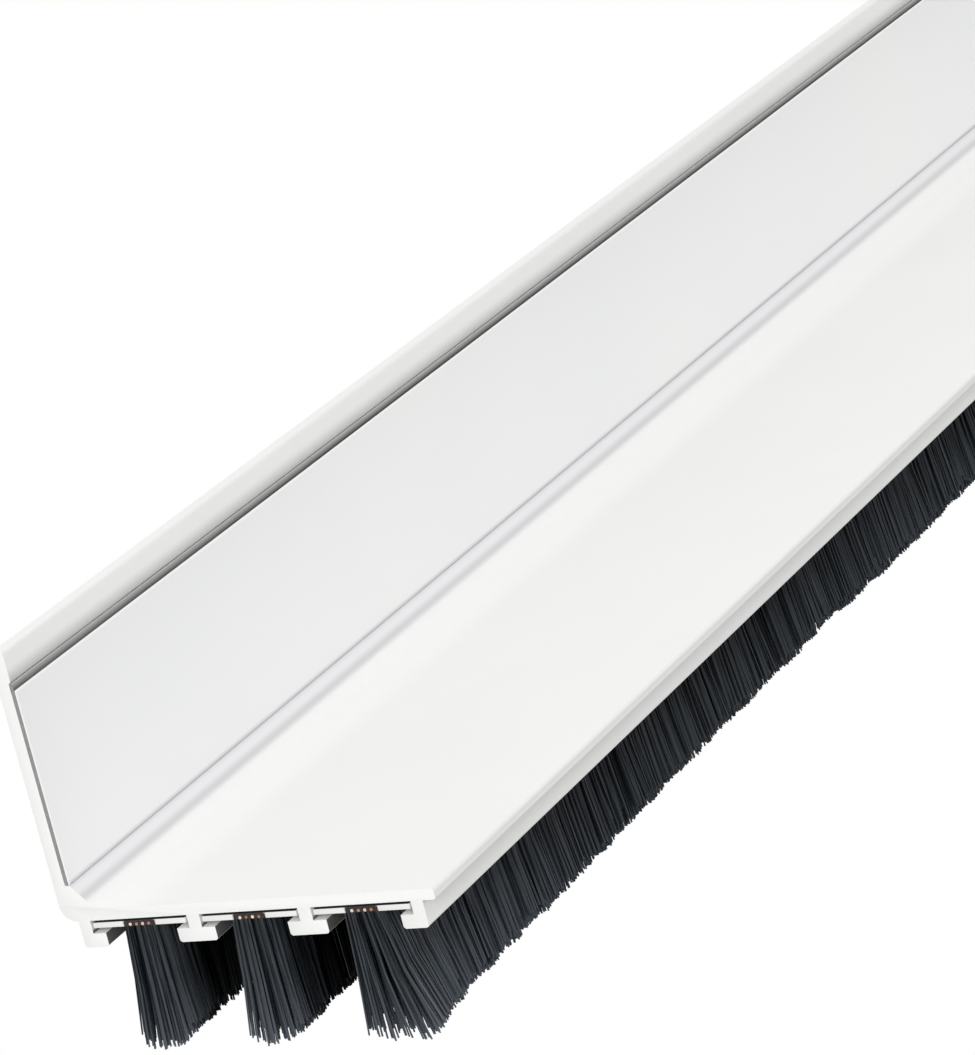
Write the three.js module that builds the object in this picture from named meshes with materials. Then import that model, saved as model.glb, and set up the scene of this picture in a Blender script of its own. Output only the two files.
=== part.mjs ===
// Door sweep: a white L-shaped extrusion with double-sided tape and a release liner on its
// upright leaf, and three brush strips that slide in T-slots under its short leaf.
// Millimetres. +X runs along the sweep, -Y points out of the taped face, +Z is up.
// Origin: on the release liner's outer face, at mid-length and level with the tape's middle.
import * as THREE from "three";

// Length of the extrusion, and so of everything that runs along it
const sweepLength = 914.4;

// Tape stack on the upright leaf, from the door's face inwards
const tapeWidth = 19;
const linerWidth = 18.6;
const linerThickness = 0.1;
const linerDrop = 0.25;
const adhesiveThickness = 0.05;
const foamThickness = 0.3;

// Upright leaf, and the lip that stands a little proud of the tape's seat above it
const leafThickness = 1.2;
const lipHeight = 3.05;
const lipAboveTape = 0.05;
const lipProud = 0.22;
const lipTopRadius = 0.4;
const lipUnderRadius = 0.2;

// Inside corner between the leaves: a sloping face that runs into a hollow curve
const linerToShoulder = 0.1;
const cornerHeight = 2.35;
const cornerRadius = 3.1;
const cornerSlope = THREE.MathUtils.degToRad(50);

// Short leaf
const plateThickness = 1.1;
const plateOverhang = 1.3;
const plateTopRadius = 0.45;
const plateUnderRadius = 0.2;

// T-slots under the short leaf
const slotCount = 3;
const slotWidth = 10;
const slotInset = 1.1;
const wallThickness = 1.2;
const dividerThickness = 1.3;
const footReach = 1.3;
const footThickness = 1.3;
const footCornerRadius = 0.3;

// Ribbon that carries the bristles, and the woven band at its middle
const ribbonThickness = 0.55;
const ribbonSideClearance = 0.2;
const ribbonTopClearance = 0.2;
const ribbonUnderClearance = 0.5;
const webThickness = 0.1;
const bandWidth = 3.2;
const bandClearance = 0.02;
const threadCount = 4;
const threadDiameter = 0.3;
const threadClearance = 0.03;

// Bristles
const bristleLength = 12.4;
const bristleTipWidth = 7;
const bristleClearance = 0.05;

// Places across the section that follow from the sizes above
const adhesiveOutY = linerThickness;
const foamY = adhesiveOutY + adhesiveThickness;
const adhesiveInY = foamY + foamThickness;
const leafInnerY = adhesiveInY + adhesiveThickness;
const leafOuterY = leafInnerY + leafThickness;
const tapeTopZ = tapeWidth / 2;
const linerBottomZ = -tapeWidth / 2 - linerDrop;
const shoulderZ = linerBottomZ - linerToShoulder;
const plateTopZ = shoulderZ - cornerHeight;
const roofZ = plateTopZ - plateThickness;
const footTopZ = roofZ - ribbonTopClearance - ribbonThickness - ribbonUnderClearance;
const footBottomZ = footTopZ - footThickness;
const slotPitch = slotWidth + dividerThickness;
const firstWallY = wallThickness - slotInset;
const lastWallY = -slotInset - slotCount * slotPitch + dividerThickness - wallThickness;
const plateEdgeY = lastWallY - plateOverhang;
const slotCentreY = (n) => -slotInset - slotWidth / 2 - n * slotPitch;

// Ribbon and bristle places measured down from the roof of a slot
const ribbonBottom = ribbonTopClearance + ribbonThickness;
const bandHeight = ribbonThickness - webThickness - bandClearance;
const notchWidth = threadDiameter + 2 * threadClearance;
const notchDepth = bandHeight / 2 + threadDiameter / 2;
const bristleRootRadius = bandWidth / 2;
const flexAxisDepth = ribbonBottom + bristleClearance + bristleRootRadius;
const bristleReach = bristleLength - bristleClearance - bristleRootRadius;

const curveSegments = 12;
const quarter = Math.PI / 2;

function plastic(name, color, roughness) {
  return new THREE.MeshStandardMaterial({ name, color, roughness, metalness: 0 });
}

const whitePlastic = plastic("white_extrusion", 0xf1f1ee, 0.35);
const adhesiveClear = plastic("acrylic_adhesive", 0x9c9c98, 0.6);
const foamGrey = plastic("grey_foam", 0x5a5a58, 0.9);
const linerFilm = plastic("release_film", 0xededeb, 0.3);
const ribbonWhite = plastic("woven_ribbon", 0xf4f3ef, 0.6);
const bandDark = plastic("woven_band", 0x554c45, 0.85);
const threadCream = plastic("cream_thread", 0xd4cbc4, 0.7);
const threadBrown = plastic("brown_thread", 0x8a6a5c, 0.7);
const bristleDark = plastic("dark_bristles", 0x2d3035, 0.6);

// A bar along X whose section is an outline in (y, z).
const sectionToRow = new THREE.Matrix4().makeBasis(
  new THREE.Vector3(0, 1, 0),
  new THREE.Vector3(0, 0, 1),
  new THREE.Vector3(1, 0, 0),
);

function bar(name, outline, material) {
  const geometry = new THREE.ExtrudeGeometry(outline, {
    depth: sweepLength,
    steps: 1,
    bevelEnabled: false,
    curveSegments,
  });
  geometry.translate(0, 0, -sweepLength / 2);
  geometry.applyMatrix4(sectionToRow);
  const mesh = new THREE.Mesh(geometry, material);
  mesh.name = name;
  return mesh;
}

function rectangle(y0, z0, y1, z1) {
  const outline = new THREE.Shape();
  outline.moveTo(y0, z0);
  outline.lineTo(y1, z0);
  outline.lineTo(y1, z1);
  outline.lineTo(y0, z1);
  outline.closePath();
  return outline;
}

// Upright leaf: up the outer face, round the lip, down the inner face to the tape's shoulder.
function traceLeaf(outline) {
  const lipBottomZ = tapeTopZ + lipAboveTape;
  const roundZ = lipBottomZ + lipHeight - lipTopRadius;
  const lipFrontY = leafInnerY - lipProud;
  outline.lineTo(leafOuterY, roundZ);
  outline.absarc(leafOuterY - lipTopRadius, roundZ, lipTopRadius, 0, quarter, false);
  outline.absarc(lipFrontY + lipTopRadius, roundZ, lipTopRadius, quarter, Math.PI, false);
  outline.absarc(lipFrontY + lipUnderRadius, lipBottomZ + lipUnderRadius, lipUnderRadius,
    Math.PI, 3 * quarter, false);
  outline.lineTo(leafInnerY, lipBottomZ);
  outline.lineTo(leafInnerY, shoulderZ);
}

// Inside corner and the short leaf's top, out to its rounded edge.
function tracePlate(outline) {
  const curveDrop = cornerRadius * (1 - Math.cos(cornerSlope));
  const slopeDrop = cornerHeight - curveDrop;
  const slopeEndY = -slopeDrop / Math.tan(cornerSlope);
  const curveEndY = slopeEndY - cornerRadius * Math.sin(cornerSlope);
  outline.lineTo(0, shoulderZ);
  outline.lineTo(slopeEndY, shoulderZ - slopeDrop);
  outline.absarc(
    curveEndY, plateTopZ + cornerRadius, cornerRadius, cornerSlope - quarter, -quarter, true);
  outline.lineTo(plateEdgeY + plateTopRadius, plateTopZ);
  outline.absarc(
    plateEdgeY + plateTopRadius, plateTopZ - plateTopRadius, plateTopRadius, quarter, Math.PI);
  outline.lineTo(plateEdgeY, roofZ + plateUnderRadius);
  outline.absarc(plateEdgeY + plateUnderRadius, roofZ + plateUnderRadius, plateUnderRadius,
    Math.PI, 3 * quarter);
  outline.lineTo(lastWallY, roofZ);
}

// A foot's rounded lower corner, from its side face down to its underside.
function traceCornerDown(outline, y) {
  const centreY = y + footCornerRadius;
  const centreZ = footBottomZ + footCornerRadius;
  outline.absarc(centreY, centreZ, footCornerRadius, Math.PI, 3 * quarter);
}

// The same corner from the underside up to the side face.
function traceCornerUp(outline, y) {
  const centreY = y - footCornerRadius;
  const centreZ = footBottomZ + footCornerRadius;
  outline.absarc(centreY, centreZ, footCornerRadius, -quarter, 0);
}

// One T-slot seen from below: its mouth between two feet, and the wide space above them.
function traceSlot(outline, centreY) {
  const mouth = slotWidth / 2 - footReach;
  const side = slotWidth / 2;
  traceCornerUp(outline, centreY - mouth);
  outline.lineTo(centreY - mouth, footTopZ);
  outline.lineTo(centreY - side, footTopZ);
  outline.lineTo(centreY - side, roofZ);
  outline.lineTo(centreY + side, roofZ);
  outline.lineTo(centreY + side, footTopZ);
  outline.lineTo(centreY + mouth, footTopZ);
  traceCornerDown(outline, centreY + mouth);
}

function profileOutline() {
  const heelRadius = leafOuterY - firstWallY;
  const outline = new THREE.Shape();
  outline.moveTo(leafOuterY, roofZ + heelRadius);
  traceLeaf(outline);
  tracePlate(outline);
  traceCornerDown(outline, lastWallY);
  for (let n = slotCount - 1; n >= 0; n -= 1) traceSlot(outline, slotCentreY(n));
  traceCornerUp(outline, firstWallY);
  outline.lineTo(firstWallY, roofZ);
  outline.absarc(leafOuterY - heelRadius, roofZ + heelRadius, heelRadius, -quarter, 0);
  return outline;
}

// Foam tape with an adhesive coat on each face, and the liner that keeps the outer one clean.
function tapeStack() {
  const bottomZ = -tapeWidth / 2;
  const linerTopZ = linerBottomZ + linerWidth;
  const stack = new THREE.Group();
  stack.add(
    bar("tape_inner_adhesive", rectangle(adhesiveInY, bottomZ, leafInnerY, tapeTopZ),
      adhesiveClear),
    bar("tape_foam", rectangle(foamY, bottomZ, adhesiveInY, tapeTopZ), foamGrey),
    bar("tape_outer_adhesive", rectangle(adhesiveOutY, bottomZ, foamY, tapeTopZ), adhesiveClear),
    bar("release_liner", rectangle(0, linerBottomZ, adhesiveOutY, linerTopZ), linerFilm),
  );
  return stack;
}

// Ribbon: a flat strip with a wide groove in its underside that leaves a thin web on top.
function ribbonOutline() {
  const side = slotWidth / 2 - ribbonSideClearance;
  const grooveSide = bandWidth / 2;
  const grooveTopZ = -ribbonTopClearance - webThickness;
  const outline = new THREE.Shape();
  outline.moveTo(-side, -ribbonBottom);
  outline.lineTo(-grooveSide, -ribbonBottom);
  outline.lineTo(-grooveSide, grooveTopZ);
  outline.lineTo(grooveSide, grooveTopZ);
  outline.lineTo(grooveSide, -ribbonBottom);
  outline.lineTo(side, -ribbonBottom);
  outline.lineTo(side, -ribbonTopClearance);
  outline.lineTo(-side, -ribbonTopClearance);
  outline.closePath();
  return outline;
}

const threadOffset = (i) => ((i + 1) / (threadCount + 1) - 0.5) * bandWidth;

// Woven band: fills the ribbon's groove, with a notch in its underside for each thread.
function bandOutline() {
  const side = bandWidth / 2 - bandClearance;
  const bottomZ = -ribbonBottom;
  const outline = new THREE.Shape();
  outline.moveTo(-side, bottomZ + bandHeight);
  outline.lineTo(-side, bottomZ);
  for (let i = 0; i < threadCount; i += 1) {
    const left = threadOffset(i) - notchWidth / 2;
    const right = threadOffset(i) + notchWidth / 2;
    outline.lineTo(left, bottomZ);
    outline.lineTo(left, bottomZ + notchDepth);
    outline.lineTo(right, bottomZ + notchDepth);
    outline.lineTo(right, bottomZ);
  }
  outline.lineTo(side, bottomZ);
  outline.lineTo(side, bottomZ + bandHeight);
  outline.closePath();
  return outline;
}

function threadOutline(i) {
  const centreZ = -ribbonBottom + notchDepth - threadClearance - threadDiameter / 2;
  const outline = new THREE.Shape();
  outline.absarc(threadOffset(i), centreZ, threadDiameter / 2, 0, 4 * quarter);
  return outline;
}

// Bristles: round at the root, so that they can flex under the ribbon, and fanned to the tips.
function bristleOutline() {
  const outline = new THREE.Shape();
  outline.absarc(0, 0, bristleRootRadius, 0, 2 * quarter);
  outline.lineTo(-bristleTipWidth / 2, -bristleReach);
  outline.lineTo(bristleTipWidth / 2, -bristleReach);
  outline.closePath();
  return outline;
}

// One brush strip, placed from the middle of its slot's roof.
function brushStrip(n) {
  const number = n + 1;
  const strip = new THREE.Group();
  strip.position.set(0, slotCentreY(n), roofZ);
  strip.add(
    bar(`strip_${number}_ribbon`, ribbonOutline(), ribbonWhite),
    bar(`strip_${number}_woven_band`, bandOutline(), bandDark),
  );
  for (let i = 0; i < threadCount; i += 1) {
    const material = i % 2 === 0 ? threadBrown : threadCream;
    strip.add(bar(`strip_${number}_thread_${i + 1}`, threadOutline(i), material));
  }
  const bristles = bar(`strip_${number}_bristles`, bristleOutline(), bristleDark);
  bristles.position.z = -flexAxisDepth;
  strip.add(bristles);
  return strip;
}

const doorSweep = new THREE.Group();
doorSweep.add(bar("sweep_profile", profileOutline(), whitePlastic));
doorSweep.add(tapeStack());
for (let n = 0; n < slotCount; n += 1) doorSweep.add(brushStrip(n));

export default doorSweep;
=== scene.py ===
"""Door sweep: a white L-shaped extrusion with foam tape and a release liner on its upright
leaf, and three brush strips that slide in the T-slots under its short leaf.

Metres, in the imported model's frame: +X along the sweep, -Y out of the taped face, +Z up.
"""

import math

import bmesh
import bpy
import numpy
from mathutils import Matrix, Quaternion, Vector


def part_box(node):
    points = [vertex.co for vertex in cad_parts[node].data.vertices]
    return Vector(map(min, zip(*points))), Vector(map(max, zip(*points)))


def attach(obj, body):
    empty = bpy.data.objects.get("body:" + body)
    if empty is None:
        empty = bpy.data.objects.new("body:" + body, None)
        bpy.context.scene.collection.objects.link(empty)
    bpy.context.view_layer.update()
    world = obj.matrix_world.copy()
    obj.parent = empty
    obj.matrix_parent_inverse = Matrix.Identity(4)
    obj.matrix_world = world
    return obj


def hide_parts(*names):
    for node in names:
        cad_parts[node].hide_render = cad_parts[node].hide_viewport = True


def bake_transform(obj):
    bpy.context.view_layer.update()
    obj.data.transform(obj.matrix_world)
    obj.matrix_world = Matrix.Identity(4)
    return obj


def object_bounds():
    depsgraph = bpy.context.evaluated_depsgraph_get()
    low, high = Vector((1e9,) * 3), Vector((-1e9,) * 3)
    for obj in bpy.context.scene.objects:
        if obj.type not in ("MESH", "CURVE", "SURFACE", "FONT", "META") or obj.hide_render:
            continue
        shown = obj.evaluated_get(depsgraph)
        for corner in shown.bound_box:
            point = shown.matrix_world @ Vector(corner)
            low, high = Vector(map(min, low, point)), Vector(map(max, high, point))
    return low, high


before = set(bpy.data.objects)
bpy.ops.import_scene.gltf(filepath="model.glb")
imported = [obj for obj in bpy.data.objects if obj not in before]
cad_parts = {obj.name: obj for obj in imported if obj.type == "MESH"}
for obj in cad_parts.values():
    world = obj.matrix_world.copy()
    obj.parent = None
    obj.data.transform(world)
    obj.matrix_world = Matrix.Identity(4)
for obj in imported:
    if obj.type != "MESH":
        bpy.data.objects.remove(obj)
cad_low, cad_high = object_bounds()
mm = 0.001


# White extrusion -------------------------------------------------------------------------
# The L-shaped body is rigid white PVC, pushed through a steel die, which leaves faint lines
# along it, and sawn to a matt, scored end, paler partly by painted light. A hand scraper
# takes the burr off every edge. Painted shade darkens its corners and creases, painted
# highlights run along some edges, and painted shade greys the slots' feet.

extrusion_edge = 0.11 * mm
weld_distance = 0.001 * mm
plate_overhang = 1.3 * mm
saw_angle, saw_marks, sawn_depth = math.radians(38), (1, 9000, 500), 0.05 * mm
die_line_depth, grain_depth, saw_depth = 0.0001 * mm, 0.0006 * mm, 0.03 * mm
white, shaded_white = (0.905, 0.905, 0.895), (0.885, 0.885, 0.872)
# Paler sawn white, partly painted light, and the grey of the painted shade on the feet
sawn_and_lit_white, foot_shade_grey = (0.96, 0.96, 0.945), (0.12, 0.12, 0.12)
foot_shade_fade, beyond_ribbons = 0.3 * mm, 0.5 * mm
tape_low, tape_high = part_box("tape_foam")
wall_y = cad_low.y + plate_overhang
# Painted shade and highlights along the part: across and height of each, its reach, its colour
painted_shade_and_highlights = (
    # Painted shade under the lip, along the tape's top edge
    (tape_low.y, tape_high.z, 1.6 * mm, (0.54, 0.54, 0.53)),
    # Painted shadow at the shoulder the liner rests on, painted shade down the slope under it
    (0, -9.85 * mm, 0.6 * mm, (0.52, 0.51, 0.54)),
    (-0.5 * mm, -10.5 * mm, 2.0 * mm, (0.83, 0.825, 0.845)),
    # Where the slope meets the short leaf: painted highlight, a thin painted shade line above it
    (-4.2 * mm, -12.2 * mm, 5.5 * mm, (0.96, 0.96, 0.95)),
    (-0.98 * mm, -11.0 * mm, 0.75 * mm, (0.67, 0.665, 0.68)),
    # Painted shade on the short leaf's outer edge and in the line under its overhang, and a
    # painted highlight on the wall's foot
    (cad_low.y, -12.75 * mm, 0.3 * mm, (0.85, 0.85, 0.83)),
    (wall_y, -13.3 * mm, 0.5 * mm, (0.66, 0.65, 0.63)),
    (wall_y, -15.85 * mm, 0.3 * mm, (1.0, 1.0, 1.0)),
)
ribbons_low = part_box("strip_3_ribbon")[0]
ribbons_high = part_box("strip_1_ribbon")[1]


def place(name, mesh):
    """A new object at the origin that holds the mesh."""
    piece = bpy.data.objects.new(name, mesh)
    bpy.context.scene.collection.objects.link(piece)
    return piece


def merged_copy(node, name):
    """A new object with a CAD node's solid, its loose triangles joined into whole faces."""
    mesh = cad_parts[node].data.copy()
    mesh.name = name
    mesh.materials.clear()
    solid = bmesh.new()
    solid.from_mesh(mesh)
    bmesh.ops.remove_doubles(solid, verts=solid.verts, dist=weld_distance)
    flat = math.radians(1)
    bmesh.ops.dissolve_limit(solid, angle_limit=flat, verts=solid.verts, edges=solid.edges)
    solid.to_mesh(mesh)
    solid.free()
    return place(name, mesh)


def soften(piece, width, sharpest=30):
    """Rounds the edges that turn more than sharpest degrees, and smooths the gentler ones."""
    piece.data.shade_smooth()
    bevel = piece.modifiers.new("rounded edges", "BEVEL")
    bevel.width = width
    bevel.segments = 2
    bevel.limit_method = "ANGLE"
    bevel.angle_limit = math.radians(sharpest)
    bevel.harden_normals = True


def add(tree, kind, sockets=None, **settings):
    """A node with its settings made and its sockets given a value or linked to a socket."""
    node = tree.nodes.new(kind)
    for name, value in settings.items():
        setattr(node, name, value)
    for name, value in (sockets or {}).items():
        if isinstance(value, bpy.types.NodeSocket):
            tree.links.new(value, node.inputs[name])
        else:
            node.inputs[name].default_value = value
    return node


def reckon(tree, operation, *values):
    """The answer to a sum on numbers or sockets."""
    return add(tree, "ShaderNodeMath", dict(enumerate(values)), operation=operation).outputs[0]


def coordinate(tree, axis, kind="Object"):
    """One axis of the place on the piece, or of the way its surface faces with Normal."""
    spot = add(tree, "ShaderNodeTexCoord").outputs[kind]
    return add(tree, "ShaderNodeSeparateXYZ", {0: spot}).outputs[axis]


def new_group(name, inputs, outputs):
    """An empty shader group with float inputs, given as name: default, and float outputs."""
    tree = bpy.data.node_groups.new(name, "ShaderNodeTree")
    for label, value in inputs.items():
        socket = tree.interface.new_socket(label, in_out="INPUT", socket_type="NodeSocketFloat")
        socket.default_value = value
    for label in outputs:
        tree.interface.new_socket(label, in_out="OUTPUT", socket_type="NodeSocketFloat")
    return tree


def lines_along():
    """Streaks that run along X, at so many to the metre along and across."""
    tree = new_group("lines along", {"Along": 8, "Across": 3000}, ["Lines"])
    given = add(tree, "NodeGroupInput").outputs
    stretch = add(tree, "ShaderNodeCombineXYZ",
                  {"X": given["Along"], "Y": given["Across"], "Z": given["Across"]})
    spot = add(tree, "ShaderNodeTexCoord").outputs["Object"]
    drawn = add(tree, "ShaderNodeVectorMath", {0: spot, 1: stretch.outputs[0]},
                operation="MULTIPLY")
    noise = add(tree, "ShaderNodeTexNoise",
                {"Vector": drawn.outputs[0], "Scale": 1.0, "Detail": 3.0, "Roughness": 0.6})
    add(tree, "NodeGroupOutput", {"Lines": noise.outputs[0]})
    return tree


def fine_grain():
    """Even grain of so many grains to the metre, and broad soft clouds over it."""
    tree = new_group("fine grain", {"Grains": 4000, "Clouds": 60}, ["Grain", "Cloud"])
    given = add(tree, "NodeGroupInput").outputs
    spot = add(tree, "ShaderNodeTexCoord").outputs["Object"]
    grain = add(tree, "ShaderNodeTexNoise",
                {"Vector": spot, "Scale": given["Grains"], "Detail": 2.0})
    cloud = add(tree, "ShaderNodeTexNoise",
                {"Vector": spot, "Scale": given["Clouds"], "Detail": 3.0})
    add(tree, "NodeGroupOutput", {"Grain": grain.outputs[0], "Cloud": cloud.outputs[0]})
    return tree


def near_cut_ends():
    """1 at the two sawn ends, fading to 0 over Reach metres towards the middle."""
    tree = new_group("near cut ends", {"Reach": 0.02}, ["Mask"])
    given = add(tree, "NodeGroupInput").outputs
    away = reckon(tree, "ABSOLUTE", coordinate(tree, "X"))
    end = cad_high.x
    start = reckon(tree, "SUBTRACT", end, given["Reach"])
    mask = add(tree, "ShaderNodeMapRange", {"Value": away, "From Min": start, "From Max": end})
    add(tree, "NodeGroupOutput", {"Mask": mask.outputs[0]})
    return tree


def along_crease():
    """1 on a line that runs along X at (Y, Z), fading to 0 at Reach metres from it."""
    tree = new_group("along crease", {"Y": 0, "Z": 0, "Reach": 0.001}, ["Mask"])
    given = add(tree, "NodeGroupInput").outputs
    spot = add(tree, "ShaderNodeTexCoord").outputs["Object"]
    flat = add(tree, "ShaderNodeVectorMath", {0: spot, 1: (0, 1, 1)}, operation="MULTIPLY")
    line = add(tree, "ShaderNodeCombineXYZ", {"Y": given["Y"], "Z": given["Z"]})
    away = add(tree, "ShaderNodeVectorMath", {0: flat.outputs[0], 1: line.outputs[0]},
               operation="DISTANCE").outputs["Value"]
    mask = add(tree, "ShaderNodeMapRange", {
        "Value": away, "From Max": given["Reach"], "To Min": 1.0, "To Max": 0.0,
    }, interpolation_type="SMOOTHSTEP")
    add(tree, "NodeGroupOutput", {"Mask": mask.outputs[0]})
    return tree


LINES, GRAIN, ENDS, CREASE = lines_along(), fine_grain(), near_cut_ends(), along_crease()


def finish_named(name, **sockets):
    """A material and its shader, with the shader's own sockets set."""
    material = bpy.data.materials.new(name)
    material.use_nodes = True
    shader = material.node_tree.nodes["Principled BSDF"]
    for label, value in sockets.items():
        shader.inputs[label.replace("_", " ")].default_value = value
    return material, material.node_tree, shader


def mixed(tree, share, first, second):
    """A colour between two, by share."""
    mix = add(tree, "ShaderNodeMix", {0: share}, data_type="RGBA")
    for socket, colour in ((6, first), (7, second)):
        if isinstance(colour, bpy.types.NodeSocket):
            tree.links.new(colour, mix.inputs[socket])
        else:
            mix.inputs[socket].default_value = (*colour, 1)
    return mix.outputs[2]


def ranged(tree, value, low, high, start=0.0, stop=1.0):
    """Value, which runs from start to stop, stretched to run from low to high."""
    return add(tree, "ShaderNodeMapRange", {
        "Value": value, "From Min": start, "From Max": stop, "To Min": low, "To Max": high,
    }).outputs[0]


def bumped(tree, height, depth, normal=None):
    """A surface pressed in by height, up to depth metres, over another such surface."""
    bump = add(tree, "ShaderNodeBump", {"Height": height, "Distance": depth, "Strength": 1.0})
    if normal:
        tree.links.new(normal, bump.inputs["Normal"])
    return bump.outputs[0]


def shaded_foot_sides(tree):
    """1 where the feet get painted shade: their sides that face a slot's mouth, from the ribbons
    down.
    """
    across = coordinate(tree, "Y")
    facing = reckon(tree, "ABSOLUTE", coordinate(tree, "Y", "Normal"))
    mask = ranged(tree, facing, 0, 1, 0.5, 0.8)
    below = ranged(tree, coordinate(tree, "Z"), 1, 0, ribbons_low.z - foot_shade_fade, ribbons_low.z)
    inwards = reckon(tree, "GREATER_THAN", across, ribbons_low.y - beyond_ribbons)
    outwards = reckon(tree, "LESS_THAN", across, ribbons_high.y + beyond_ribbons)
    for share in (below, inwards, outwards):
        mask = reckon(tree, "MULTIPLY", mask, share)
    return mask


def white_plastic():
    """Matt where sawn, and a soft gloss elsewhere."""
    material, tree, shader = finish_named("white extruded PVC", IOR=1.53)
    lines = add(tree, "ShaderNodeGroup", {"Along": 6, "Across": 2400}, node_tree=LINES)
    grain = add(tree, "ShaderNodeGroup", {"Grains": 5200, "Clouds": 35}, node_tree=GRAIN)
    ends = add(tree, "ShaderNodeGroup", {"Reach": sawn_depth}, node_tree=ENDS).outputs[0]
    scored = add(tree, "ShaderNodeTexNoise", {
        "Vector": add(tree, "ShaderNodeMapping", {
            "Vector": add(tree, "ShaderNodeTexCoord").outputs["Object"],
            "Rotation": (saw_angle, 0, 0), "Scale": saw_marks,
        }).outputs[0], "Scale": 1.0,
    }).outputs[0]
    cloud = ranged(tree, grain.outputs["Cloud"], 0, 1, 0.35, 0.7)
    base = mixed(tree, cloud, white, shaded_white)
    # Painted shade and painted highlights along the creases and edges
    for y, z, reach, colour in painted_shade_and_highlights:
        painted_line = add(tree, "ShaderNodeGroup", {"Y": y, "Z": z, "Reach": reach},
                     node_tree=CREASE).outputs[0]
        base = mixed(tree, painted_line, base, colour)
    # The sawn ends' paler white: partly the cut's own matt whiteness, partly painted light
    base = mixed(tree, ends, base, sawn_and_lit_white)
    # Painted shade on the feet's sides inside the slots
    base = mixed(tree, shaded_foot_sides(tree), base, foot_shade_grey)
    gloss = ranged(tree, lines.outputs[0], 0.28, 0.31, 0.3, 0.7)
    matt = add(tree, "ShaderNodeMix", {0: ends, 2: gloss, 3: 0.62}, data_type="FLOAT")
    normal = bumped(tree, grain.outputs["Grain"], grain_depth)
    normal = bumped(tree, lines.outputs[0], die_line_depth, normal)
    normal = bumped(tree, reckon(tree, "MULTIPLY", scored, ends), saw_depth, normal)
    tree.links.new(base, shader.inputs["Base Color"])
    tree.links.new(matt.outputs[0], shader.inputs["Roughness"])
    tree.links.new(normal, shader.inputs["Normal"])
    return material


extrusion = merged_copy("sweep_profile", "white_extrusion")
extrusion.data.materials.append(white_plastic())
soften(extrusion, extrusion_edge)
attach(extrusion, "profile")
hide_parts("sweep_profile")


# Foam tape -------------------------------------------------------------------------------
# Double-sided tape, stuck along the upright leaf by its inner coat of acrylic adhesive. The
# core is grey foam with closed cells on its edges, and its top is pale with dust. The
# outer coat is bare above the liner, where painted shade darkens it towards the liner's edge,
# less near the cut ends.

cell_size, cell_depth = 0.09 * mm, 0.02 * mm
foam_cell, foam_wall, dusty_top = (0.26, 0.26, 0.255), (0.4, 0.4, 0.39), (0.75, 0.75, 0.74)
liner_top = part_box("release_liner")[1].z
# Painted shade along the liner's edge: its width, and its colours in the middle and near the
# ends
tape_shade_width = 0.12 * mm
tape_shade_black, end_shade_grey = (0.006, 0.006, 0.006), (0.08, 0.08, 0.078)
unshaded_tack, covered_tack = (0.42, 0.42, 0.41), (0.33, 0.33, 0.325)
speck_grey = (0.1, 0.1, 0.097)
covered_from, covered_below = 0.05 * mm, 0.15 * mm
end_shade_reach = 0.07
tack_depth = 0.01 * mm


def foam():
    """Closed cells with paler walls, and dust on the edge that faces up."""
    material, tree, shader = finish_named("grey foam core", Roughness=0.9, IOR=1.45)
    spot = add(tree, "ShaderNodeTexCoord").outputs["Object"]
    cells = add(tree, "ShaderNodeTexVoronoi", {"Vector": spot, "Scale": 1 / cell_size},
                feature="DISTANCE_TO_EDGE").outputs["Distance"]
    walls = ranged(tree, cells, 1, 0, 0, 0.25)
    top = ranged(tree, coordinate(tree, "Z", "Normal"), 0, 1, 0.5, 0.9)
    base = mixed(tree, top, mixed(tree, walls, foam_cell, foam_wall), dusty_top)
    tree.links.new(base, shader.inputs["Base Color"])
    tree.links.new(bumped(tree, walls, cell_depth), shader.inputs["Normal"])
    return material


def adhesive():
    """Clean and grey under the liner, then painted shade that clears towards the lip and the
    ends.
    """
    material, tree, shader = finish_named("acrylic adhesive", IOR=1.47, Coat_Weight=0.1,
                                          Coat_Roughness=0.2)
    grain = add(tree, "ShaderNodeGroup", {"Grains": 3000, "Clouds": 240}, node_tree=GRAIN)
    ends = add(tree, "ShaderNodeGroup", {"Reach": end_shade_reach}, node_tree=ENDS).outputs[0]
    up = coordinate(tree, "Z")
    # Painted shade: darkest just above the liner's edge, clearing towards the lip and the cut
    # ends
    shade_clears = ranged(tree, up, 0, 1, liner_top + tape_shade_width, tape_high.z)
    grey = mixed(tree, shade_clears, mixed(tree, ends, tape_shade_black, end_shade_grey), unshaded_tack)
    base = mixed(tree, ranged(tree, grain.outputs["Cloud"], 0, 0.06), grey, speck_grey)
    covered = ranged(tree, up, 1, 0, liner_top - covered_below, liner_top - covered_from)
    base = mixed(tree, covered, base, covered_tack)
    tree.links.new(base, shader.inputs["Base Color"])
    tree.links.new(ranged(tree, grain.outputs["Grain"], 0.3, 0.6), shader.inputs["Roughness"])
    tree.links.new(bumped(tree, grain.outputs["Grain"], tack_depth), shader.inputs["Normal"])
    return material


def refinish(node, material):
    """Gives a CAD node that stays in sight its own material."""
    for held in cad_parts[node].material_slots:
        held.material = material


refinish("tape_foam", foam())
tack = adhesive()
refinish("tape_inner_adhesive", tack)
refinish("tape_outer_adhesive", tack)


# Release liner ---------------------------------------------------------------------------
# White silicone-coated film that peels off the outer adhesive. It is slit narrower than the
# tape, which leaves its edges thin, and laid low, so that its lower edge rests on the
# extrusion's shoulder. Its slit edges carry a painted highlight and its hem a painted
# shadow. It follows the foam's unevenness.

liner_droop = 0.08 * mm
liner_low, liner_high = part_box("release_liner")
liner_low.z -= liner_droop
liner_rim = 0.14 * mm
liner_hem = 0.3 * mm
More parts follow.
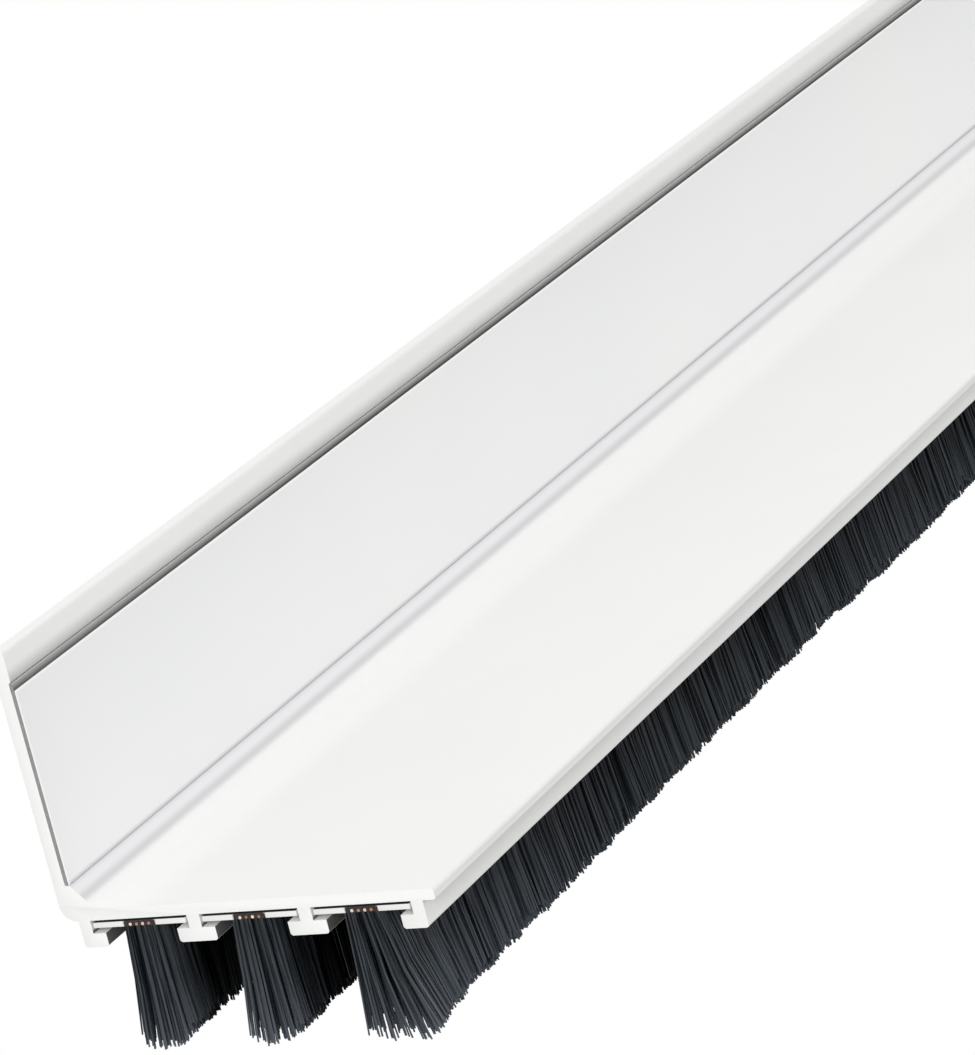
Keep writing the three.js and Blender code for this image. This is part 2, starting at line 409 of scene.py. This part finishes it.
# The painted shadow on the hem: its height; and the greys of it and of the rim's painted
# highlight
hem_shade_height = 0.5 * mm
film_white, cloudy_white = (0.955, 0.955, 0.95), (0.935, 0.937, 0.945)
painted_hem_shade, painted_rim_highlight = (0.56, 0.55, 0.585), (1.0, 1.0, 1.0)
film_line_depth, film_grain_depth = 0.01 * mm, 0.0015 * mm
liner_unevenness = 0.012 * mm
# The film's ripples: how fast each turns along it and up it, in radians to the metre
long_ripple, short_ripple = (61, 140), (143, -310)
ripple_offset = 1.3


def liner_film():
    """Pale, faintly cloudy film; painted highlight on the slit edges, painted shadow on the hem.
    """
    material, tree, shader = finish_named("release film", IOR=1.5, Coat_Weight=0.25,
                                          Coat_Roughness=0.12)
    rim = add(tree, "ShaderNodeAttribute", attribute_name="rim").outputs["Fac"]
    grain = add(tree, "ShaderNodeGroup", {"Grains": 900, "Clouds": 22}, node_tree=GRAIN)
    lines = add(tree, "ShaderNodeGroup", {"Along": 3, "Across": 260}, node_tree=LINES)
    cloud = ranged(tree, grain.outputs["Cloud"], 0, 1, 0.35, 0.65)
    base = mixed(tree, cloud, film_white, cloudy_white)
    # Painted shadow along the film's lower hem
    hem_shaded = ranged(tree, coordinate(tree, "Z"), 1, 0, liner_low.z, liner_low.z + hem_shade_height)
    base = mixed(tree, hem_shaded, base, painted_hem_shade)
    # Painted highlight on the slit edges
    base = mixed(tree, rim, base, painted_rim_highlight)
    tree.links.new(base, shader.inputs["Base Color"])
    tree.links.new(ranged(tree, lines.outputs[0], 0.3, 0.42), shader.inputs["Roughness"])
    normal = bumped(tree, lines.outputs[0], film_line_depth)
    normal = bumped(tree, grain.outputs["Grain"], film_grain_depth, normal)
    tree.links.new(normal, shader.inputs["Normal"])
    return material


def liner_mesh():
    """The film: a closed section of rows across it, carried along X and capped."""
    columns, inner_rows = 180, 10
    thickness = liner_high.y - liner_low.y
    height = liner_high.z - liner_low.z
    inner = height - 2 * liner_rim - liner_hem
    # Rows down the outer face: distance from the top edge, depth in the film, rim or not.
    face = [(0.0, 0.9, 1.0), (liner_rim, 0.0, 1.0), (2 * liner_rim, 0.0, 0.0)]
    face += [(2 * liner_rim + inner * k / inner_rows, 0.0, 0.0) for k in range(1, inner_rows)]
    face += [(height - liner_hem, 0.0, 0.0), (height - 0.4 * liner_hem, 0.12, 0.0),
             (height, 0.6, 0.0)]
    span = liner_high.x - liner_low.x - 4 * liner_rim
    places = [(liner_low.x, 1.0), (liner_low.x + liner_rim, 1.0)]
    places += [(liner_low.x + 2 * liner_rim + span * i / columns, 0.0)
               for i in range(columns + 1)]
    places += [(liner_high.x - liner_rim, 1.0), (liner_high.x, 1.0)]
    film = bmesh.new()
    rim_layer = film.verts.layers.float.new("rim")

    def corner(x, y, z, rim):
        vertex = film.verts.new((x, y, z))
        vertex[rim_layer] = rim
        return vertex

    rings = []
    for x, end_rim in places:
        ring = []
        for down, depth, rim in face:
            z = liner_high.z - down
            wave = math.sin(x * long_ripple[0] + z * long_ripple[1]) + 0.6 * math.sin(
                x * short_ripple[0] + z * short_ripple[1] + ripple_offset)
            lift = liner_unevenness * (0.5 + 0.3 * wave) if depth == 0.0 else 0.0
            ring.append(corner(x, liner_low.y + depth * thickness + lift, z,
                               max(rim, end_rim)))
        ring.append(corner(x, liner_high.y, liner_low.z, 0.0))
        ring.append(corner(x, liner_high.y, liner_high.z, 1.0))
        rings.append(ring)
    for first, second in zip(rings, rings[1:]):
        for k in range(len(first)):
            after = (k + 1) % len(first)
            film.faces.new((first[k], first[after], second[after], second[k]))
    film.faces.new(rings[0])
    film.faces.new(reversed(rings[-1]))
    bmesh.ops.recalc_face_normals(film, faces=film.faces)
    mesh = bpy.data.meshes.new("release_liner_film")
    film.to_mesh(mesh)
    film.free()
    mesh.shade_smooth()
    mesh.set_sharp_from_angle(angle=math.radians(30))
    return mesh


liner = place("release_liner_film", liner_mesh())
liner.data.materials.append(liner_film())
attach(liner, "liner")
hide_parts("release_liner")


# Brush ribbons ---------------------------------------------------------------------------
# Each strip's backing is a white polypropylene ribbon, woven flat and stiff, that slides in
# a T-slot. The bristles are woven through its middle, which stains the thin web over them
# dark, and its back has the black coat that locks them, which is also painted shade for the
# gap over it. The weave shows on its face.

strips = (1, 2, 3)
ribbon_edge = 0.05 * mm
weave_pitch, yarn_depth = 0.42 * mm, 0.03 * mm
stain_from, stain_to = 1.45 * mm, 1.75 * mm
# The black back coat's colour is also painted shade for the gap above the ribbon
yarn_white, yarn_shade, back_coat_and_gap_shade = (0.90, 0.895, 0.88), (0.76, 0.75, 0.725), (0.02, 0.02, 0.022)
stain_brown, stain_pale = (0.035, 0.024, 0.02), (0.075, 0.045, 0.036)


def strip_centre(n):
    """Where the middle of a strip's ribbon is, across the sweep."""
    low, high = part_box(f"strip_{n}_ribbon")
    return (low.y + high.y) / 2


def weave_height():
    """Plain weave of yarns along and across, Pitch metres apart."""
    tree = new_group("plain weave", {"Pitch": weave_pitch}, ["Height"])
    given = add(tree, "NodeGroupInput").outputs
    spot = add(tree, "ShaderNodeTexCoord").outputs["Object"]
    turn = reckon(tree, "DIVIDE", math.pi, given["Pitch"])
    phase = add(tree, "ShaderNodeVectorMath", {0: spot, "Scale": turn}, operation="SCALE")
    part = add(tree, "ShaderNodeSeparateXYZ", {0: phase.outputs[0]}).outputs
    along, across = reckon(tree, "SINE", part["X"]), reckon(tree, "SINE", part["Y"])
    crossing = reckon(tree, "MULTIPLY", along, across)
    add(tree, "NodeGroupOutput", {"Height": ranged(tree, crossing, 0, 1, -1, 1)})
    return tree


WEAVE = weave_height()


def ribbon_finish():
    """White yarn face, stained dark over the bristles; black back coat, partly painted shade."""
    material, tree, shader = finish_named("woven polypropylene ribbon", IOR=1.49)
    woven = add(tree, "ShaderNodeGroup", {"Pitch": weave_pitch}, node_tree=WEAVE).outputs[0]
    grain = add(tree, "ShaderNodeGroup", {"Grains": 6000, "Clouds": 400}, node_tree=GRAIN)
    across = add(tree, "ShaderNodeAttribute", attribute_name="across").outputs["Fac"]
    stain = ranged(tree, reckon(tree, "ABSOLUTE", across), 1, 0, stain_from, stain_to)
    up = coordinate(tree, "Z", "Normal")
    # Black on the faces that look up: the back coat, and painted shade in the gap above it
    coated_and_shaded = ranged(tree, up, 0, 1, 0.3, 0.7)
    under = ranged(tree, up, 1, 0, -0.9, -0.5)
    weave = reckon(tree, "MULTIPLY", woven, under)
    yarn = mixed(tree, weave, yarn_white, yarn_shade)
    stained = mixed(tree, grain.outputs["Cloud"], stain_brown, stain_pale)
    base = mixed(tree, coated_and_shaded, mixed(tree, stain, yarn, stained), back_coat_and_gap_shade)
    tree.links.new(base, shader.inputs["Base Color"])
    tree.links.new(ranged(tree, grain.outputs["Grain"], 0.45, 0.7), shader.inputs["Roughness"])
    tree.links.new(bumped(tree, weave, yarn_depth), shader.inputs["Normal"])
    return material


ribbon_material = ribbon_finish()
for n in strips:
    ribbon = merged_copy(f"strip_{n}_ribbon", f"strip_{n}_woven_ribbon")
    across = ribbon.data.attributes.new("across", "FLOAT", "POINT")
    for vertex, held in zip(ribbon.data.vertices, across.data):
        held.value = vertex.co.y - strip_centre(n)
    ribbon.data.materials.append(ribbon_material)
    soften(ribbon, ribbon_edge)
    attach(ribbon, f"strip_{n}")
    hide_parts(f"strip_{n}_ribbon")


# Woven bands and warp threads ------------------------------------------------------------
# The band is the part of the ribbon where the bristles are bound in: dark yarn, woven
# tightly, with four twisted warp threads run through it, two cream and two brown in turn.
# The threads show as dots at the cut ends.

band_pitch, band_depth = 0.26 * mm, 0.05 * mm
thread_twist, ply_depth = 0.55 * mm, 0.03 * mm
twist_slant = 1.1 / thread_twist


def band_finish():
    """Dark yarn, woven tighter than the ribbon, with a little brown dust in it."""
    material, tree, shader = finish_named("dark woven band", Roughness=0.85,
                                          Sheen_Weight=0.2, Sheen_Roughness=0.5)
    weave = add(tree, "ShaderNodeGroup", {"Pitch": band_pitch}, node_tree=WEAVE).outputs[0]
    grain = add(tree, "ShaderNodeGroup", {"Grains": 7000, "Clouds": 900}, node_tree=GRAIN)
    base = mixed(tree, grain.outputs["Cloud"], (0.012, 0.009, 0.008), (0.045, 0.022, 0.016))
    tree.links.new(base, shader.inputs["Base Color"])
    tree.links.new(bumped(tree, weave, band_depth), shader.inputs["Normal"])
    return material


def thread_finish(name, light, dark):
    """Two-ply thread whose plies slant round it, with a painted highlight on their crowns."""
    material, tree, shader = finish_named(name, Roughness=0.75, Sheen_Weight=0.3,
                                          Sheen_Roughness=0.4)
    spot = add(tree, "ShaderNodeTexCoord").outputs["Object"]
    slant = add(tree, "ShaderNodeMapping", {
        "Vector": spot, "Scale": (1 / thread_twist, twist_slant, twist_slant)})
    ply = add(tree, "ShaderNodeTexWave", {
        "Vector": slant.outputs[0], "Scale": 0.32, "Distortion": 0.6, "Detail": 2.0,
    }, wave_type="BANDS", bands_direction="DIAGONAL").outputs["Fac"]
    # The paler colour on the ply crowns is a painted highlight
    tree.links.new(mixed(tree, ply, dark, light), shader.inputs["Base Color"])
    tree.links.new(bumped(tree, ply, ply_depth), shader.inputs["Normal"])
    return material


band_material = band_finish()
thread_materials = (
    thread_finish("brown warp thread", (0.5, 0.25, 0.18), (0.3, 0.14, 0.1)),
    thread_finish("cream warp thread", (0.9, 0.8, 0.72), (0.72, 0.6, 0.5)),
)
for n in strips:
    refinish(f"strip_{n}_woven_band", band_material)
    for t in (1, 2, 3, 4):
        refinish(f"strip_{n}_thread_{t}", thread_materials[(t + 1) % 2])


# Bristles --------------------------------------------------------------------------------
# Blue-black nylon monofilament, bound into the band and sheared off about 12 mm below it.
# The pile spreads towards its tips and gathers into soft locks, and the cut runs up and down
# a little from lock to lock. Painted shade blackens the sides that face another strip, and
# more lightly the outer side, but not near the lit ends.

strand_count, strand_bundles = 42000, 3
strand_radius, strand_taper = 0.11 * mm, 0.92
filler_count, filler_radius = 5000, 0.16 * mm
filler_inset, filler_share = 0.35 * mm, 0.93
root_spread = 0.35 * mm
lock_size, long_wave = 3.0 * mm, 7.0
flare_reach = 14 * mm
# Leans and reaches are shares of the pile's length. For each strip: how far it leans to +Y
# at its outer side, at its side near the leaf, and how much more at its cut ends
leans = {1: (0.02, 0.12, -0.05), 2: (0.01, 0.1, -0.05), 3: (-0.09, 0.08, -0.2)}
lock_lean_x, lock_lean_y = 0.035, 0.018
strand_lean_x, strand_lean_y = 0.025, 0.014
# How much the cut varies by lock, in long waves and by strand, and what its corners lose
lock_reach, wave_reach, strand_reach = 0.02, 0.055, 0.011
corner_loss, corner_power = -0.13, 5.0
black_nylon, blue_nylon = (0.004, 0.005, 0.0065), (0.055, 0.071, 0.088)
worn_tip, pile_shade_black = (0.09, 0.108, 0.13), (0.0062, 0.0068, 0.0078)
outer_side = strip_centre(3) - 0.6 * mm
# Where the painted shade fades across and along the pile, and how strong it is
pile_shade_fade, pile_unshaded_end, pile_shade_fade_reach = 1.5 * mm, 7 * mm, 40 * mm
pile_shade_along, pile_shade_at_ends = 0.55, 0.08
nylon_streaks = (2000, 2, 1)


def random_between(tree, low, high, seed):
    """A different number for each strand."""
    node = tree.nodes.new("FunctionNodeRandomValue")
    node.data_type = "FLOAT"
    node.inputs[2].default_value = low
    node.inputs[3].default_value = high
    tree.links.new(seed, node.inputs["Seed"])
    return node.outputs[1]


def pile_tree():
    """Geometry nodes for a bundle of strands that hang from the rectangle From to To."""
    tree = bpy.data.node_groups.new("bristle pile", "GeometryNodeTree")
    tree.interface.new_socket("Geometry", in_out="INPUT", socket_type="NodeSocketGeometry")
    sockets = (
        ("From", "Vector"), ("To", "Vector"), ("Strands", "Int"), ("Radius", "Float"),
        ("Length", "Float"), ("Lean Front", "Float"), ("Lean Back", "Float"),
        ("Flare", "Float"), ("Lock", "Float"), ("Seed", "Int"), ("Material", "Material"),
    )
    for label, kind in sockets:
        tree.interface.new_socket(label, in_out="INPUT", socket_type=f"NodeSocket{kind}")
    tree.interface.new_socket("Geometry", in_out="OUTPUT", socket_type="NodeSocketGeometry")
    given = add(tree, "NodeGroupInput").outputs

    def seeded(offset):
        return reckon(tree, "ADD", given["Seed"], offset)

    # Roots: at random over the rectangle between From and To, closest along its two sides
    around = reckon(tree, "COSINE", random_between(tree, 0, math.pi, seeded(2)))
    share = add(tree, "ShaderNodeCombineXYZ", {
        "X": random_between(tree, 0, 1, seeded(1)),
        "Y": reckon(tree, "MULTIPLY_ADD", around, 0.5, 0.5)}).outputs[0]
    span = add(tree, "ShaderNodeVectorMath", {0: given["To"], 1: given["From"]},
               operation="SUBTRACT").outputs[0]
    root = add(tree, "ShaderNodeVectorMath", {0: share, 1: span, 2: given["From"]},
               operation="MULTIPLY_ADD").outputs[0]
    points = add(tree, "GeometryNodePoints", {"Count": given["Strands"], "Position": root})

    # Locks: strands near each other lean and end alike, by four noises read far apart
    place_now = add(tree, "GeometryNodeInputPosition").outputs[0]
    locks = []
    for k, size in enumerate((1.0, 1.0, 1.2, long_wave)):
        scale = reckon(tree, "DIVIDE", 1 / size, given["Lock"])
        shifted = add(tree, "ShaderNodeVectorMath", {0: place_now, 1: (0.31 * k, 0, 0.1 * k)},
                      operation="ADD").outputs[0]
        noise = add(tree, "ShaderNodeTexNoise",
                    {"Vector": shifted, "Scale": scale, "Detail": 1.0}).outputs[0]
        locks.append(ranged(tree, noise, -1, 1, 0.2, 0.8))

    # Lean: from the outer side's to the leaf side's, with each strand a little apart
    side = add(tree, "ShaderNodeSeparateXYZ", {0: place_now}).outputs["Y"]
    low = add(tree, "ShaderNodeSeparateXYZ", {0: given["From"]}).outputs
    high = add(tree, "ShaderNodeSeparateXYZ", {0: given["To"]}).outputs
    sideways = add(tree, "ShaderNodeMapRange", {
        "Value": side, "From Min": low["Y"], "From Max": high["Y"],
        "To Min": given["Lean Front"], "To Max": given["Lean Back"],
    }).outputs[0]
    frontness = add(tree, "ShaderNodeMapRange", {
        "Value": side, "From Min": low["Y"], "From Max": high["Y"],
        "To Min": 1.0, "To Max": 0.0,
    }).outputs[0]
    along = add(tree, "ShaderNodeSeparateXYZ", {0: place_now}).outputs["X"]
    at_end = ranged(tree, reckon(tree, "ABSOLUTE", along), 0, 1,
                    cad_high.x - flare_reach, cad_high.x)
    flare = reckon(tree, "MULTIPLY", reckon(tree, "MULTIPLY", at_end, frontness),
                   given["Flare"])
    lean_y = reckon(tree, "MULTIPLY_ADD", locks[0], lock_lean_y, sideways)
    lean_y = reckon(tree, "ADD", reckon(tree, "ADD", lean_y, flare),
                    random_between(tree, -strand_lean_y, strand_lean_y, seeded(3)))
    lean_x = reckon(tree, "MULTIPLY_ADD", locks[1], lock_lean_x,
                    random_between(tree, -strand_lean_x, strand_lean_x, seeded(4)))
    lean = add(tree, "ShaderNodeCombineXYZ", {"X": lean_x, "Y": lean_y}).outputs[0]
    drift = add(tree, "ShaderNodeVectorMath", {0: lean, "Scale": given["Length"]},
                operation="SCALE").outputs[0]
    turned = add(tree, "ShaderNodeCombineXYZ", {
        "X": math.pi, "Z": random_between(tree, 0, 2 * math.pi, seeded(5))})

    # Reach: the sheared length, up and down with the locks, and less at the pile's corners
    middle = add(tree, "ShaderNodeMapRange", {
        "Value": side, "From Min": low["Y"], "From Max": high["Y"],
        "To Min": -1.0, "To Max": 1.0,
    }).outputs[0]
    corner = reckon(tree, "POWER", reckon(tree, "ABSOLUTE", middle), corner_power)
    reach = reckon(tree, "MULTIPLY_ADD", locks[2], lock_reach, 1.0)
    reach = reckon(tree, "MULTIPLY_ADD", locks[3], wave_reach, reach)
    reach = reckon(tree, "ADD", reach,
                   random_between(tree, -strand_reach, strand_reach, seeded(6)))
    reach = reckon(tree, "MULTIPLY_ADD", corner, corner_loss, reach)
    reach = reckon(tree, "MULTIPLY", reach, given["Length"])

    # One strand: three-sided, with a blunt end a little thinner than its root
    shaft = add(tree, "GeometryNodeMeshCone", {
        "Vertices": 3, "Side Segments": 2, "Radius Bottom": given["Radius"],
        "Radius Top": reckon(tree, "MULTIPLY", given["Radius"], strand_taper), "Depth": 1.0},
        fill_type="NGON")
    height = add(tree, "ShaderNodeSeparateXYZ", {0: place_now}).outputs["Z"]
    marked = add(tree, "GeometryNodeStoreNamedAttribute", {
        "Geometry": shaft.outputs[0], "Name": "down", "Value": height}, data_type="FLOAT",
        domain="POINT")

    rooted = points.outputs[0]
    for label, value in (("root", place_now), ("drift", drift)):
        rooted = add(tree, "GeometryNodeStoreNamedAttribute", {
            "Geometry": rooted, "Name": label, "Value": value},
            data_type="FLOAT_VECTOR", domain="POINT").outputs[0]
    stretched = add(tree, "ShaderNodeCombineXYZ", {"X": 1.0, "Y": 1.0, "Z": reach})
    hung = add(tree, "GeometryNodeInstanceOnPoints", {
        "Points": rooted, "Instance": marked.outputs[0],
        "Rotation": turned.outputs[0], "Scale": stretched.outputs[0]})
    realized = add(tree, "GeometryNodeRealizeInstances", {"Geometry": hung.outputs[0]})

    # Bend: straight out of the band, then more and more to the side
    low_down = add(tree, "GeometryNodeInputNamedAttribute", {"Name": "down"},
                   data_type="FLOAT").outputs[0]
    aside = add(tree, "GeometryNodeInputNamedAttribute", {"Name": "drift"},
                data_type="FLOAT_VECTOR").outputs[0]
    curve = reckon(tree, "MULTIPLY", low_down,
                   reckon(tree, "MULTIPLY_ADD", low_down, 0.5, 0.5))
    shift = add(tree, "ShaderNodeVectorMath", {0: aside, "Scale": curve}, operation="SCALE")
    bent = add(tree, "GeometryNodeSetPosition", {
        "Geometry": realized.outputs[0], "Offset": shift.outputs[0]})
    finished = add(tree, "GeometryNodeSetMaterial", {
        "Geometry": bent.outputs[0], "Material": given["Material"]})
    add(tree, "NodeGroupOutput", {"Geometry": finished.outputs[0]})
    return tree


def bristle_finish():
    """Streaked nylon with paler tips, and black painted shade away from the ends and between
    strips.
    """
    material, tree, shader = finish_named("blue-black nylon", IOR=1.53, Roughness=0.42)
    spread = add(tree, "ShaderNodeUVMap", uv_map="UVMap").outputs[0]
    streaks = add(tree, "ShaderNodeTexNoise", {
        "Vector": add(tree, "ShaderNodeMapping", {"Vector": spread, "Scale": nylon_streaks}
                      ).outputs[0], "Scale": 1.0, "Detail": 2.0}).outputs[0]
    down = add(tree, "ShaderNodeSeparateXYZ", {0: spread}).outputs["Y"]
    base = mixed(tree, ranged(tree, streaks, 0, 1, 0.3, 0.7), black_nylon, blue_nylon)
    base = mixed(tree, ranged(tree, down, 0, 0.8, 0.5, 1.0), base, worn_tip)
    # Painted shade between the strips and, more lightly, along the outer side, but not near the
    # ends
    between = ranged(tree, coordinate(tree, "Y"), 0, 1, outer_side, outer_side + pile_shade_fade)
    ends = add(tree, "ShaderNodeGroup", {"Reach": pile_unshaded_end}, node_tree=ENDS).outputs[0]
    wide_end_mask = add(tree, "ShaderNodeGroup", {"Reach": pile_shade_fade_reach}, node_tree=ENDS).outputs[0]
    pile_shade = reckon(tree, "MAXIMUM", between, ranged(tree, wide_end_mask, pile_shade_along, pile_shade_at_ends))
    pile_shade = reckon(tree, "MULTIPLY", pile_shade, reckon(tree, "SUBTRACT", 1.0, ends))
    tree.links.new(mixed(tree, pile_shade, base, pile_shade_black), shader.inputs["Base Color"])
    # Painted shade also takes the nylon's shine: a metal this dark reflects almost nothing
    tree.links.new(pile_shade, shader.inputs["Metallic"])
    return material


def bristle_bundle(name, start, stop, count, radius, length, lean, seed):
    """A plain mesh of strands, with a map of how far along the pile and down it each is."""
    carrier = place(name, bpy.data.meshes.new(name))
    modifier = carrier.modifiers.new("pile", "NODES")
    modifier.node_group = PILE
    wanted = {
        "From": start, "To": stop, "Strands": count, "Radius": radius,
        "Length": length, "Lean Front": lean[0], "Lean Back": lean[1], "Flare": lean[2],
        "Lock": lock_size, "Seed": seed, "Material": bristle_material,
    }
    for socket in PILE.interface.items_tree:
        if socket.name in wanted:
            modifier[socket.identifier] = wanted[socket.name]
    evaluated = carrier.evaluated_get(bpy.context.evaluated_depsgraph_get())
    mesh = bpy.data.meshes.new_from_object(evaluated)
    carrier.modifiers.clear()
    carrier.data = mesh
    map_pile(mesh)
    return carrier


def map_pile(mesh):
    """A map with the root's place along the sweep as u, and how far down the strand as v."""
    vertices = len(mesh.vertices)
    root = numpy.empty(vertices * 3)
    down = numpy.empty(vertices)
    mesh.attributes["root"].data.foreach_get("vector", root)
    mesh.attributes["down"].data.foreach_get("value", down)
    corner = numpy.empty(len(mesh.loops), int)
    mesh.loops.foreach_get("vertex_index", corner)
    along = (root[::3] - cad_low.x) / (cad_high.x - cad_low.x)
    places = numpy.stack([along[corner], down[corner]], 1).astype(numpy.float32)
    layer = mesh.uv_layers.new(name="UVMap")
    layer.data.foreach_set("uv", places.ravel())
    for name in ("root", "down", "drift"):
        mesh.attributes.remove(mesh.attributes[name])


PILE = pile_tree()
bristle_material = bristle_finish()
for n in strips:
    ribbon_low, ribbon_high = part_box(f"strip_{n}_ribbon")
    band_low, band_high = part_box(f"strip_{n}_woven_band")
    cad_pile_low, cad_pile_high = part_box(f"strip_{n}_bristles")
    root_z = ribbon_low.z
    length = root_z - cad_pile_low.z
    inset = strand_radius
    ends = numpy.linspace(ribbon_low.x + inset, ribbon_high.x - inset, strand_bundles + 1)
    front, back = band_low.y + inset, band_high.y + root_spread
    bundles = [bristle_bundle(
        f"strip_{n}_bristles_{k + 1}", (ends[k], front, root_z), (ends[k + 1], back, root_z),
        strand_count // strand_bundles, strand_radius, length, leans[n],
        100 * n + 10 * k) for k in range(strand_bundles)]
    bundles.append(bristle_bundle(
        f"strip_{n}_inner_bristles",
        (ends[0] + filler_inset, front + filler_inset, root_z),
        (ends[-1] - filler_inset, back - filler_inset, root_z),
        filler_count, filler_radius, filler_share * length, leans[n], 100 * n + 90))
    for bundle in bundles:
        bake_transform(bundle)
        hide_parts(f"strip_{n}_bristles")


# Studio ----------------------------------------------------------------------------------
# A flat white floor well below the part, which hangs in the air as its door would hold it,
# under an even pale sky and one broad lamp that lights the near end and the tops.

floor_drop, floor_reach, floor_grey = 0.25, 14.0, (0.55, 0.55, 0.55, 1)
lamp_place, lamp_size, lamp_energy = Vector((-2.5, -0.78, 0.96)), 1.0, 16.4
sky_strength = 0.85
lens_length, sensor_width = 184.2, 36
view_from = Vector((-0.83438, -0.25951, 0.13982))
view_along = Vector((0.842116, 0.467746, -0.268428))
view_roll = math.radians(-14.08)


def studio_floor():
    """Grey to the light, white to the camera, and clear from below."""
    mesh = bpy.data.meshes.new("floor")
    z = cad_low.z - floor_drop
    corners = [(sx * floor_reach, sy * floor_reach, z)
               for sx, sy in ((-1, -1), (1, -1), (1, 1), (-1, 1))]
    mesh.from_pydata(corners, [], [(0, 1, 2, 3)])
    material, tree, shader = finish_named("white studio floor", Roughness=0.9)
    shader.inputs["Base Color"].default_value = floor_grey
    glow = add(tree, "ShaderNodeEmission", {"Color": (1, 1, 1, 1), "Strength": 1.0})
    clear = add(tree, "ShaderNodeBsdfTransparent")
    looked_at = add(tree, "ShaderNodeLightPath").outputs["Is Camera Ray"]
    below = add(tree, "ShaderNodeNewGeometry").outputs["Backfacing"]
    top = add(tree, "ShaderNodeMixShader", {0: looked_at, 1: shader.outputs[0],
                                            2: glow.outputs[0]})
    seen = add(tree, "ShaderNodeMixShader", {0: below, 1: top.outputs[0],
                                             2: clear.outputs[0]})
    tree.links.new(seen.outputs[0], tree.nodes["Material Output"].inputs["Surface"])
    mesh.materials.append(material)
    place("floor", mesh)


def studio_light():
    lamp = bpy.data.lights.new("key", "AREA")
    lamp.shape = "DISK"
    lamp.size = lamp_size
    lamp.energy = lamp_energy
    key = bpy.data.objects.new("key", lamp)
    bpy.context.scene.collection.objects.link(key)
    key.location = lamp_place
    target = Vector((cad_low.x, 0, 0))
    key.rotation_euler = (target - key.location).to_track_quat("-Z", "Y").to_euler()
    world = bpy.data.worlds.new("pale sky")
    world.use_nodes = True
    tree = world.node_tree
    sky = tree.nodes["Background"]
    camera_ray = add(tree, "ShaderNodeLightPath").outputs["Is Camera Ray"]
    tree.links.new(ranged(tree, camera_ray, sky_strength, 1.0), sky.inputs["Strength"])
    sky.inputs["Color"].default_value = (1, 1, 1, 1)
    bpy.context.scene.world = world


def studio_camera():
    lens = bpy.data.cameras.new("camera")
    lens.sensor_width = sensor_width
    lens.lens = lens_length
    lens.clip_start, lens.clip_end = 0.01, 100
    camera = bpy.data.objects.new("camera", lens)
    bpy.context.scene.collection.objects.link(camera)
    camera.location = view_from
    camera.rotation_mode = "QUATERNION"
    roll = Quaternion((0, 0, 1), view_roll)
    camera.rotation_quaternion = view_along.to_track_quat("-Z", "Y") @ roll
    bpy.context.scene.camera = camera


studio_floor()
studio_light()
studio_camera()
bpy.context.scene.view_settings.view_transform = "Standard"
